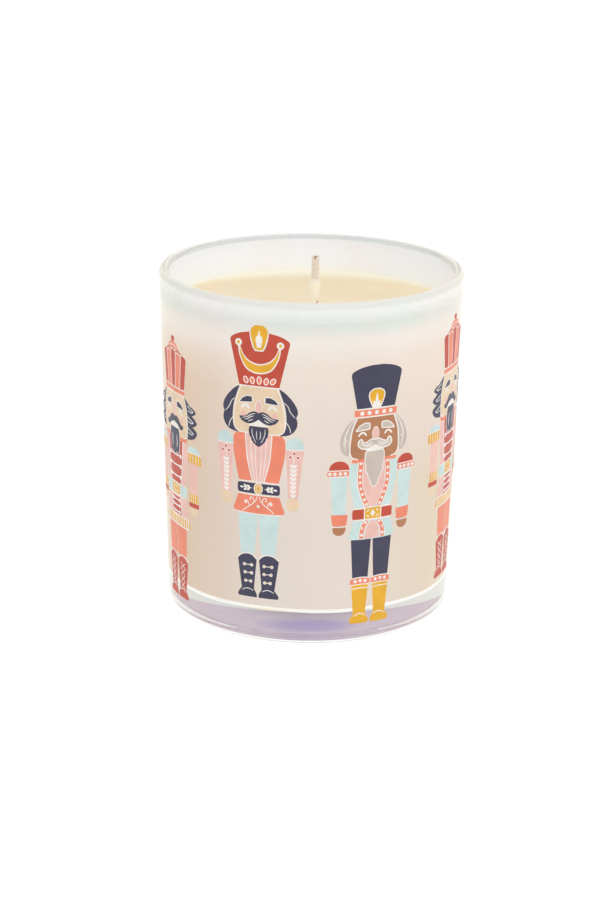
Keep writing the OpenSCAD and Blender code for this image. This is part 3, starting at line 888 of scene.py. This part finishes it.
def red_figure():
    """Red shako with a plate and a chain, long dark hair, coral coat, mint legs, dark boots."""
    f = Figure()
    hat = sym([(5.35, 57.2)] + curve([(7.75, 67.9), (7.85, 68.9), (7.3, 69.6), (5.4, 70.6),
            (2.6, 71.25)]))
    f.put("red", FIELD, hat)
    plate = sym(curve([(0.85, 66.7), (1.3, 67.4), (1.9, 69.3), (2.25, 71.2), (1.9, 72.4), (0.9, 73.1)]))
    f.white(DETAIL, sym([(1.05, 66.35), (1.7, 67.3), (2.3, 69.3), (2.55, 71.25)]))
    f.put("gold", FINE, plate)
    f.white(OVER, rounded(sym([(0.55, 67.35), (0.9, 69.2), (0.85, 70.0), (0.3, 70.5), (0.1, 71.8)]),
            0.15))
    f.white(DETAIL, swag([(0, 63.05), (2.4, 63.7), (4.1, 65.2), (5.0, 67.2), (5.5, 68.0)],
            [(0, 60.4), (3.3, 61.45), (5.2, 64.7), (5.65, 67.4)]))
    f.put("gold", FINE, swag([(0, 62.7), (2.6, 63.4), (4.2, 64.9), (5.2, 67.2)],
            [(0, 60.75), (3.1, 61.75), (4.95, 64.9), (5.2, 67.2)]))
    f.whites(OVER, disc(5.5, 68.2, 0.95))
    f.both("gold", LAST, disc(5.5, 68.2, 0.42))
    for x, y, tilt, ry in ((-3.5, 58.6, 22, 0.95), (-1.75, 58.6, 10, 0.95), (0.1, 58.75, 0, 1.05),
            (1.95, 58.6, -12, 0.95), (3.7, 58.7, -38, 0.95)):
        f.white(DETAIL, oval(x, y, 0.7, ry + 0.06, tilt))
        f.put("coral", FINE, oval(x, y, 0.44, ry - 0.22, tilt))
    f.white(DETAIL, line([(-5.3, 56.95), (0, 57.1), (5.4, 56.95)], 0.28))

    hair = curve([(5.2, 57.0), (6.9, 55.9), (8.7, 54.0), (9.8, 52.2), (10.1, 50.7), (9.7, 49.6)]) \
        + curve([(10.05, 48.4), (9.85, 46.9), (8.8, 45.4), (7.3, 44.7), (5.6, 44.5)]) \
        + curve([(7.1, 46.6), (7.25, 48.9), (6.9, 52), (6.0, 54.8)])
    f.both("navy", FIELD, hair)
    draw_head(f, "tan", face_outline(56.8, 4.9, 44.7, 6.9), 0.3)
    f.whites(DETAIL, line([(6.6, 53.4), (7.6, 52.4), (8.2, 51.0), (9.4, 49.6)], 0.2, 0.3),
             line([(7.2, 48.2), (8.0, 47.0), (8.4, 45.5)], 0.2, 0.3))
    f.white(DETAIL, rule(4.9, 44.7, 44.65, 0.3))
    draw_face(f, 51.6, "navy", 0.26, 0.75)
    f.both("pink", DETAIL, disc(4.2, 49.55, 0.72))
    f.white(DETAIL, sym(curve([(2.6, 46.6), (2.4, 47.4), (1.2, 48.1), (0, 48.5)])))
    draw_drooping_moustache(f, "navy", 50.1)
    beard = sym(curve([(2.3, 46.5), (2.65, 45.8), (2.45, 44.0), (1.5, 42.3), (0.2, 41.2)]))
    f.put("navy", FINE, beard)
    f.whites(FINE, line([(1.7, 46.0), (1.75, 44.9), (1.3, 43.4), (0.7, 42.3)], 0.17, 0.4),
             line([(0.5, 45.3), (0.55, 44.3), (0.4, 43.1)], 0.17, 0.4))

    f.put("coral", FIELD, sym([(5.45, 31.8)]
            + curve([(6.9, 38.5), (7.1, 41.5), (6.9, 43.5), (6.1, 44.5)])))
    f.put("pink", DETAIL, sym(curve([(1.6, 31.9), (2.9, 37), (3.3, 40.5), (3.6, 44.5)])))
    f.whites(FINE, line([(3.6, 44.5), (3.3, 40.5), (2.9, 37), (1.6, 31.9)], 0.28, 0.1),
             line([(2.1, 43.6), (2.0, 40.5), (1.7, 36.5), (1.0, 32)], 0.2, 0.3),
             line([(0.75, 41.4), (0.75, 38), (0.45, 32)], 0.2, 0.3))
    draw_arm(f, "mint", "pink", "tan", (41.2, 2.45, 3.1), (28.0, 2.35, 1.25), 26.3)
    f.whites(DETAIL, line([(7.2, 41.1), (9.5, 40.95), (11.9, 41.1)], 0.28),
             line([(9.3, 39.4), (9.25, 37.4)], 0.2))
    buds = ((9.35, 40.1), (8.35, 39.1), (10.3, 39.0))
    f.dots("white_lines", DETAIL, buds, 0.52)
    f.dots("red", FINE, buds, 0.34)
    for i in range(8):
        y, half = 36.7 - 1.14 * i, 0.98 - 0.03 * i
        f.whites(DETAIL, curve([(9.2, y - 0.62), (9.2 + half, y + 0.1), (9.2 + half * 0.6, y + 0.55),
                (9.2, y + 0.25), (9.2 - half * 0.6, y + 0.55), (9.2 - half, y + 0.1)], 3, True))
    f.put("navy", FIELD, block(5.8, 28.5, 31.3, 0.8))
    f.white(DETAIL, rule(5.4, 31.5, 31.85, 0.26), rule(5.4, 28.25, 28.1, 0.26),
            oval(0, 29.9, 1.25, 1.6))
    f.put("gold", FINE, oval(0, 29.9, 0.98, 1.32))
    f.white(OVER, band(oval(0, 29.9, 0.55, 0.85), 0.2))
    f.whites(DETAIL, line([(1.7, 29.9), (3.2, 29.95), (5.1, 29.9)], 0.18, 0.3),
             oval(2.7, 30.3, 0.5, 0.28, 35), oval(2.7, 29.5, 0.5, 0.28, -35),
             oval(3.6, 30.35, 0.5, 0.3, 35), oval(3.6, 29.45, 0.5, 0.3, -35),
             oval(4.6, 29.9, 0.5, 0.26))
    f.put("coral", FIELD, sym([(5.6, 28.0)]
            + curve([(6.6, 25.3), (7.05, 24.0), (6.5, 23.45), (3.5, 23.15)])))
    f.whites(DETAIL, line([(0.3, 27.8), (0.7, 26.6), (1.9, 25.4), (3.3, 24.4), (4.3, 23.5)], 0.24, 0.2),
             line([(1.1, 26.1), (1.3, 27.1), (1.9, 27.5), (2.3, 27.0), (1.9, 26.6)], 0.24, 0.2),
             line([(2.5, 25.0), (2.7, 26.0), (3.3, 26.5), (3.8, 26.0), (3.3, 25.6)], 0.24, 0.2),
             disc(3.35, 25.95, 0.3))
    f.white(DETAIL, oval(0, 25.1, 0.42, 0.4), rule(5.9, 23.15, 23.0, 0.26))
    f.both("mint", FIELD, [(0.2, 23.1), (0.2, 21.9), (0.95, 12.0), (4.9, 12.0), (5.65, 23.1)])
    draw_boots(f, "navy")
    for y, a, b in ((8.9, 1.75, 3.85), (6.7, 1.75, 3.65), (4.4, 1.95, 3.45)):
        f.whites(DETAIL, line([(a, y), (b, y)], 0.2))
        f.dots("white_lines", FINE, ((a, y), (b, y)), 0.44)
        f.dots("gold", OVER, ((a, y), (b, y)), 0.2)
    ankle(f, 2.15)
    return f


def navy_figure():
    """Navy shako with a dotted band, grey whiskers, mint coat with dotted braid, gold boots."""
    f = Figure()
    f.put("navy", FIELD, sym([(5.3, 58.4)]
            + curve([(6.9, 66.6), (6.95, 67.5), (6.3, 68.3), (4.2, 69.2), (1.5, 69.7)])))
    plate = sym(curve([(1.0, 58.5), (1.7, 60.0), (2.15, 61.5), (1.9, 62.7), (0.8, 63.4)]))
    f.put("gold", DETAIL, plate)
    f.white(FINE, band(plate, 0.3), rounded(sym([(1.1, 58.5), (0.95, 60.3), (0.45, 60.0),
            (0.12, 62.2)]), 0.12))
    f.put("coral", FIELD, block(5.9, 56.3, 58.0, 0.3))
    f.white(DETAIL, rule(5.3, 58.2, 58.35, 0.26), rule(5.2, 56.1, 56.1, 0.26))
    for x in (-3.9, -1.95, 0.1, 2.15, 4.1):
        f.white(DETAIL, disc(x, 57.15, 0.56))

    hair = curve([(5.5, 56.1), (7.4, 54.6), (8.8, 52.4), (9.5, 50.2), (9.4, 48.2), (8.6, 46.7),
                  (7.2, 45.9)]) + curve([(7.0, 47.5), (7.1, 50), (6.6, 53)])
    f.both("grey", FIELD, hair)
    f.whites(DETAIL, line([(5.8, 55.6), (7.3, 53.6), (8.2, 51.3), (8.0, 49.9)], 0.24, 0.3),
             line([(7.3, 53.2), (8.3, 51.0), (8.6, 49.0)], 0.18, 0.4),
             line([(7.3, 50.2), (8.2, 49.6), (8.0, 47.2)], 0.2, 0.4))
    draw_head(f, "brown", face_outline(55.9, 5.2, 44.95, 6.85), 0.34)
    draw_face(f, 51.6, "grey", 0.3, 0.5)
    f.white(DETAIL, sym(curve([(2.5, 46.8), (2.3, 47.6), (1.1, 48.2), (0, 48.6)])))
    draw_curled_moustache(f, "grey", 50.0)
    beard = sym(curve([(2.3, 46.9), (2.6, 45.9), (2.5, 43.9)])
                + [(2.2, 42.6), (2.35, 41.9), (1.8, 40.9), (1.55, 39.9), (1.2, 39.6), (0.9, 38.3),
                   (0.15, 37.3)])
    f.put("grey", FINE, beard)
    f.white(DETAIL, band(beard, 0.5))

    f.put("mint", FIELD, sym([(5.2, 31.9)]
            + curve([(6.6, 38.5), (6.9, 41.5), (6.7, 43.4), (5.9, 44.2)])))
    f.both("coral", DETAIL, rounded([(2.8, 44.9), (6.2, 45.0), (6.3, 44.1), (2.8, 43.9)], 0.2))
    f.put("pink", DETAIL, sym(curve([(1.0, 32.0), (2.6, 36), (3.2, 40), (3.2, 44.0)])))
    lapel = [(3.75, 44.3), (3.9, 41.6), (3.9, 39.0), (3.4, 36.4), (2.5, 34.0), (1.6, 32.1)]
    f.both("coral", FINE, line(lapel, 1.15))
    f.whites(DETAIL, line(lapel, 1.6))
    for x, y in curve(lapel, 8)[2::5]:
        f.whites(OVER, disc(x, y, 0.4, 12))
    draw_arm(f, "red", "mint", "brown", (42.3, 2.65, 2.5), (27.2, 2.2, 1.6), 26.4)
    f.both("coral", DETAIL, rounded([(6.9, 40.8), (12.7, 40.8), (12.5, 42.15), (7.0, 42.15)], 0.4))
    f.whites(DETAIL, line([(7.1, 42.3), (9.6, 42.3), (12.3, 42.3)], 0.26),
             line([(7.2, 40.6), (9.4, 40.55), (11.7, 40.6)], 0.26))
    for x in (7.9, 9.2, 10.6, 11.9):
        f.whites(FINE, disc(x, 41.45, 0.47))
    f.both("coral", DETAIL, rounded([(6.9, 30.3), (11.4, 30.4), (10.9, 27.3), (7.3, 27.3)], 0.5))
    f.whites(DETAIL, line([(7.2, 27.1), (9.1, 27.0), (10.9, 27.1)], 0.24))
    f.both("red", FIELD, rounded([(1.8, 28.7), (5.7, 28.7), (5.7, 31.4), (1.8, 31.4)], 0.5))
    f.white(DETAIL, rule(5.4, 31.65, 31.8, 0.26), rule(5.4, 28.45, 28.4, 0.26),
            block(2.5, 28.4, 31.9, 0.5))
    f.put("gold", FINE, block(2.2, 28.65, 31.65, 0.4))
    f.white(OVER, rounded([(0, 29.1), (0.7, 30.15), (0, 31.2), (-0.7, 30.15)], 0.1))
    f.whites(FINE, oval(1.3, 30.9, 0.45, 0.26, -35), oval(1.3, 29.4, 0.45, 0.26, 35))
    f.put("mint", FIELD, sym([(5.3, 28.2)]
            + curve([(6.1, 25.6), (6.6, 23.9), (5.8, 23.35), (3.2, 23.1)])))
    f.put("pink", DETAIL, sym(curve([(2.1, 23.3), (1.9, 25.6), (1.0, 27.6), (0.2, 28.1)])))
    hem = [(1.5, 28.1), (2.5, 26.8), (2.95, 25.2), (3.05, 23.4)]
    f.both("coral", FINE, line(hem, 1.1))
    f.whites(DETAIL, line(hem, 1.5))
    f.whites(FINE, disc(1.95, 27.7, 0.38), disc(2.7, 26.2, 0.42), disc(3.0, 24.4, 0.42))
    f.both("navy", FIELD, [(0.25, 23.1), (0.3, 21.9), (0.8, 12.65), (5.15, 12.65), (5.85, 23.2)])
    f.both("coral", FIELD, rounded([(0.15, 10.9), (5.75, 10.9), (5.7, 12.4), (2.9, 12.6), (0.2, 12.4)],
            0.4))
    f.whites(DETAIL, line([(0.3, 12.5), (2.9, 12.75), (5.6, 12.5)], 0.28), disc(1.5, 11.75, 0.46),
             disc(2.9, 11.9, 0.46), disc(4.3, 11.75, 0.46))
    boot = [(0.6, 10.8), (5.35, 10.8), (4.75, 3.2)] \
        + curve([(4.75, 2.4), (5.55, 1.4), (5.7, 0.5), (4.9, 0.05)]) \
        + curve([(1.3, 0.0), (0.35, 0.25), (0.3, 1.1), (1.1, 2.4)]) + [(1.15, 3.2)]
    f.both("gold", FIELD, boot)
    f.whites(DETAIL, line([(0.5, 10.75), (2.9, 10.85), (5.4, 10.75)], 0.24),
             line([(0.75, 9.75), (2.9, 9.85), (5.2, 9.75)], 0.24))
    ankle(f, 2.5, 0.26)
    return f


def striped_figure():
    """Tall striped hat with a knob, long pointed curls, red-fronted pink coat, red boots."""
    f = Figure()
    f.put("red", FIELD, rounded(sym([(0.85, 70.1), (1.0, 71.5)]), 0.5))
    f.put("coral", FIELD, sym(curve([(3.0, 68.2), (2.5, 69.3), (1.4, 69.9), (0.3, 70.1)])))
    f.white(DETAIL, rule(2.3, 68.7, 69.2, 0.22))
    f.both("red", FIELD, [(3.7, 58.1), (5.75, 58.2)] + curve([(6.9, 66.2), (6.3, 66.9), (4.6, 67.3)]))
    f.both("coral", FIELD, [(1.2, 58.1), (3.5, 58.1)]
           + curve([(4.3, 66.9), (3.5, 67.7), (2.2, 67.8), (1.6, 67.3)]))
    f.put("red", FIELD, sym([(0.95, 58.1)] + curve([(1.4, 67.2), (0.9, 68.1), (0.2, 68.5)])))
    f.whites(DETAIL, line([(3.6, 58.1), (4.4, 67.1)], 0.26), line([(1.05, 58.1), (1.5, 67.4)], 0.26),
             line([(1.7, 67.1), (3.0, 67.4), (4.2, 66.9)], 0.22))
    f.both("red", DETAIL, line([(1.5, 67.6), (3.0, 68.1), (4.4, 67.4)], 0.3, 0.2))
    f.white(DETAIL, rule(1.3, 67.6, 68.2, 0.22))
    f.put("coral", FIELD, block(6.0, 56.7, 57.8, 0.2))
    f.white(DETAIL, rule(5.9, 57.95, 58.0, 0.28), rule(5.9, 56.5, 56.5, 0.3))

    curls = [(5.9, 56.4), (7.2, 55.4)] + curve([(8.2, 54.6), (10.0, 54.0), (10.9, 53.2), (10.0, 52.4)]) \
        + curve([(9.2, 52.1), (10.6, 51.2), (11.3, 50.3), (10.2, 49.4)]) \
        + curve([(9.3, 49.1), (10.7, 48.5), (11.2, 47.5), (10.2, 46.2), (8.6, 45.6), (7.0, 45.4)]) \
        + [(7.3, 48), (7.2, 51), (6.4, 54)]
    f.both("navy", FIELD, curls)
    for y in (53.2, 50.3, 47.3):
        f.whites(DETAIL, line([(7.3, y + 1.3), (8.5, y + 0.7), (9.8, y + 0.1)], 0.22),
                 line([(9.8, y + 0.1), (8.9, y - 0.25), (7.6, y + 0.1)], 0.22))
    draw_head(f, "tan", face_outline(56.3, 5.6, 45.0, 7.05), 0.3)
    draw_face(f, 51.6, "navy", 0.26, 0.5)
    f.both("pink", DETAIL, disc(4.2, 49.7, 0.8))
    f.white(DETAIL, sym(curve([(2.8, 46.9), (2.5, 47.6), (1.3, 48.4), (0, 48.8)])))
    f.put("navy", OVER, sym(curve([(0, 49.9), (1.0, 50.3), (2.2, 49.9), (3.2, 48.9), (4.0, 48.3),
            (5.0, 48.2)]) + curve([(4.7, 47.2), (3.6, 47.0), (2.6, 47.6), (1.7, 48.2), (0.9, 48.3),
            (0, 48.7)])))
    beard = sym(curve([(2.3, 46.9), (2.8, 45.8), (2.85, 43.4), (2.6, 41.4)])
                + [(2.35, 40.1), (1.9, 40.7), (1.5, 39.9), (1.0, 40.5), (0.5, 39.8)])
    f.white(FINE, band(beard, 0.4))
    f.put("navy", OVER, beard)
    f.whites(LAST, line([(1.2, 45.2), (1.45, 43.4), (1.2, 41.6)], 0.3, 0.7))

    f.put("pink", FIELD, sym([(5.5, 31.8)]
            + curve([(6.8, 38.5), (7.0, 41.5), (6.9, 43.2), (6.3, 43.9)])))
    f.both("coral", FIELD, rounded([(2.9, 45.0), (6.9, 45.2), (6.7, 44.2), (2.9, 43.8)], 0.2))
    f.put("red", DETAIL, sym([(2.9, 31.9), (3.8, 38), (4.3, 44.0)]))
    f.whites(DETAIL, line([(3.1, 31.9), (4.0, 38), (4.6, 44.0)], 0.3))
    for y, half in ((39.5, 3.0), (36.7, 2.9), (33.7, 2.7)):
        f.white(FINE, line([(-half, y + 0.1), (0, y), (half, y + 0.1)], 0.42, 0.3))
        f.whites(FINE, oval(half + 0.15, y + 0.05, 0.62, 0.55))
    draw_arm(f, "mint", "pink", "tan", (41.9, 2.7, 2.0), (26.9, 1.9, 1.5), 26.6)
    f.both("gold", DETAIL, rounded([(7.2, 39.3), (12.6, 39.2), (12.5, 41.8), (7.2, 41.8)], 0.3))
    f.whites(DETAIL, line([(7.0, 41.95), (9.8, 42.0), (12.6, 41.95)], 0.28))
    for x in (8.1, 9.3, 10.5, 11.6):
        f.whites(FINE, line([(x, 39.4), (x + 0.05, 41.6)], 0.26, 0.2))
    f.both("gold", DETAIL, [(7.6, 28.5), (10.9, 28.5), (10.9, 30.8), (7.6, 30.8)])
    for x in (8.3, 9.2, 10.1):
        f.whites(FINE, line([(x, 28.6), (x, 30.7)], 0.24, 0.2))
    f.both("red", DETAIL, rounded([(7.2, 27.15), (11.4, 27.15), (11.5, 28.35), (7.2, 28.35)], 0.2))
    f.both("mint", FIELD, rounded([(2.0, 28.8), (6.0, 28.8), (6.0, 31.5), (2.0, 31.5)], 0.5))
    f.white(DETAIL, rule(5.6, 31.7, 31.8, 0.28), rule(5.6, 28.5, 28.3, 0.28),
            block(2.6, 28.5, 31.7, 0.4))
    f.put("gold", FINE, block(2.35, 28.75, 31.45, 0.4))
    f.white(OVER, band(block(1.4, 29.4, 30.8, 0.4), 0.24))
    f.put("pink", FIELD, sym([(5.6, 28.1), (6.9, 23.4), (6.8, 22.9)]))
    f.put("red", DETAIL, sym([(2.3, 28.0), (2.9, 23.2)]))
    f.whites(DETAIL, line([(2.5, 28.0), (3.15, 23.2)], 0.28))
    for y in (27.1, 25.5, 23.8):
        f.white(FINE, line([(-2.0, y), (2.0, y)], 0.4))
        f.whites(FINE, oval(1.9, y, 0.5, 0.45))
    f.put("gold", FIELD, rounded(sym([(6.9, 22.8), (7.4, 20.4)]), 0.3))
    f.white(DETAIL, rule(6.9, 22.95, 22.9, 0.28), rule(6.8, 20.2, 20.2, 0.28))
    for x in (0.7, 1.95, 3.2, 4.4, 5.6, 6.5):
        f.whites(DETAIL, line([(x, 20.3), (x - 0.1, 22.7)], 0.42))
    f.both("coral", FIELD, [(0.12, 20.0), (0.3, 12.0), (5.1, 12.0), (5.5, 20.0)])
    draw_boots(f, "red")
    for i in range(4):
        y = 10.1 - 1.8 * i
        a, b = (1.7 + 0.08 * i, 4.4 - 0.16 * i) if i % 2 == 0 else (1.8, 4.2 - 0.1 * i)
        f.whites(DETAIL, line([(a, y), (b, y - 1.7)], 0.24, 0.2),
                 line([(b, y), (a, y - 1.7)], 0.24, 0.2))
    ankle(f, 2.5, 0.26)
    return f


def flat_solid(loops, top):
    """A thin flat solid from one outline and its holes, cut into strips that can follow the
    curve of the wall. Returns its vertices (x, y, height) and faces."""
    points = [p for loop in loops for p in loop]
    flat = bmesh.new()
    made = [flat.verts.new((x, y, 0)) for x, y in points]
    for triangle in tessellate_polygon([[Vector((x, y, 0)) for x, y in loop] for loop in loops]):
        corners = [made[i] for i in triangle]
        a, b, c = (v.co for v in corners)
        area = (b - a).cross(c - a).z
        if abs(area) < 1e-7:
            continue
        if area < 0:
            corners.reverse()
        if not flat.faces.get(corners):
            flat.faces.new(corners)
    low, high = min(p[0] for p in points), max(p[0] for p in points)
    if high - low > NARROW:
        for k in range(math.ceil(low / STRIP), math.floor(high / STRIP) + 1):
            bmesh.ops.bisect_plane(flat, geom=flat.verts[:] + flat.edges[:] + flat.faces[:],
                                   plane_co=(k * STRIP, 0, 0), plane_no=(1, 0, 0), dist=1e-6)
    flat.verts.index_update()
    count = len(flat.verts)
    vertices = [(v.co.x, v.co.y, top) for v in flat.verts]
    vertices += [(v.co.x, v.co.y, -SINK) for v in flat.verts]
    faces = [[v.index for v in face.verts] for face in flat.faces]
    faces += [[v.index + count for v in reversed(face.verts)] for face in flat.faces]
    for face in flat.faces:
        for loop in face.loops:
            if len(loop.edge.link_faces) == 1:
                a, b = loop.vert.index, loop.link_loop_next.vert.index
                faces.append([b, a, a + count, b + count])
    flat.free()
    return vertices, faces


FIGURES = 8
FIRST_ANGLE, SPACING = -63.6, 44.4      # degrees; the print's seam is behind
FEET = [6.0, 12.8, 6.0, 11.9]           # heights of the boots' soles, in turn
TILTS = [0.0, 0.4, 0.3]                 # the slight lean of each design, in degrees
TILT_Y = 35                             # the height that a figure leans about
WIDTHS = [1.0, 1.02, 1.02]              # how far each design is widened


def make_print():
    designs = [striped_figure(), red_figure(), navy_figure()]
    for ink, colour in INKS.items():
        flat = [join([flat_solid(loops, PASS_TOP[level]) for level, loops in design.marks[ink]])
                for design in designs]
        vertices, faces = [], []
        for i in range(FIGURES):
            design = i % len(designs)
            turn = math.radians(FIRST_ANGLE + SPACING * i)
            feet = FEET[i % len(FEET)]
            lean = math.radians(TILTS[design])
            start = len(vertices)
            for x, y, h in flat[design][0]:
                across = (x * WIDTHS[design] + (y - TILT_Y) * math.sin(lean)) / RIM_R + turn
                z = feet + y
                r = outer_r(z) + h
                vertices.append((r * math.sin(across) * MM, -r * math.cos(across) * MM, z * MM))
            faces += [[v + start for v in face] for face in flat[design][1]]
        name = ink.replace("ink_", "printed_")
        coat = piece(name, vertices, faces, ink_material(ink, colour), ink, ink)
        let_light_in(coat)      # the lining behind glows too evenly to show its shadow


# ---- the stage -------------------------------------------------------------------------


AIM = Vector((0, 0, 0.045))         # what the lamps and the camera point at, in metres


def make_stage():
    """A white paper sweep, in metres: a floor that curves up into a wall behind."""
    sweep = bmesh.new()
    bend_y, bend_r = 2.6, 0.8
    profile = [(-2.0, 0.0)] + arc(bend_y, bend_r, bend_r, -90, 0, 9) + [(bend_y + bend_r, 2.6)]
    rows = [[sweep.verts.new((x, y, z)) for x in (-3.0, 3.0)] for y, z in profile]
    for a, b in zip(rows, rows[1:]):
        sweep.faces.new([a[0], a[1], b[1], b[0]])
    mesh = bpy.data.meshes.new("paper_sweep")
    sweep.to_mesh(mesh)
    sweep.free()
    mesh.shade_smooth()
    s = Shader("white_paper", Roughness=0.9)
    s.set("Base Color", s.speckle(3, srgb(250, 250, 250), srgb(252, 252, 252)))
    s.principled.inputs["Emission Color"].default_value = (1, 1, 1, 1)
    s.principled.inputs["Emission Strength"].default_value = 0.2
    mesh.materials.append(s.material)
    floor = bpy.data.objects.new("paper_sweep", mesh)
    bpy.context.scene.collection.objects.link(floor)


def make_light(name, place, size, power):
    light = bpy.data.lights.new(name, "AREA")
    light.shape = "DISK"
    light.size = size
    light.energy = power
    obj = bpy.data.objects.new(name, light)
    obj.location = place
    obj.rotation_euler = (AIM - Vector(place)).to_track_quat("-Z", "Y").to_euler()
    bpy.context.scene.collection.objects.link(obj)


def make_lights():
    world = bpy.data.worlds.new("white_surround")
    world.use_nodes = True
    background = world.node_tree.nodes["Background"]
    background.inputs["Color"].default_value = (1, 1, 1, 1)
    background.inputs["Strength"].default_value = 0.82
    bpy.context.scene.world = world
    make_light("overhead_softbox", (0.25, -0.35, 1.1), 0.9, 2.2)
    make_light("right_softbox", (1.0, -0.6, 0.5), 0.7, 0.5)
    bpy.context.scene.view_settings.view_transform = "Standard"


def make_camera():
    """A long lens 68 cm away, looking down at 17.5 degrees."""
    elevation, distance, roll = math.radians(17.54), 0.6786, math.radians(0.793)
    camera = bpy.data.cameras.new("camera")
    camera.lens = 101.54
    camera.sensor_width = 36
    camera.shift_x = -0.010378
    camera.shift_y = -0.014022
    camera.clip_start = 0.01
    obj = bpy.data.objects.new("camera", camera)
    obj.location = AIM + distance * Vector((0, -math.cos(elevation), math.sin(elevation)))
    obj.rotation_euler = (AIM - obj.location).to_track_quat("-Z", "Y").to_euler()
    obj.rotation_euler.rotate_axis("Z", roll)
    bpy.context.scene.collection.objects.link(obj)
    bpy.context.scene.camera = obj


make_camera()
make_glass()
make_lining()
make_wax()
make_braid()
make_core()
make_coat()
make_label()
make_print()
for node, material in (("wick_tab", metal_material()), ("wick_sticker", foam_material())):
    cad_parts[node].data.materials.clear()
    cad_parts[node].data.materials.append(material)
make_stage()
make_lights()
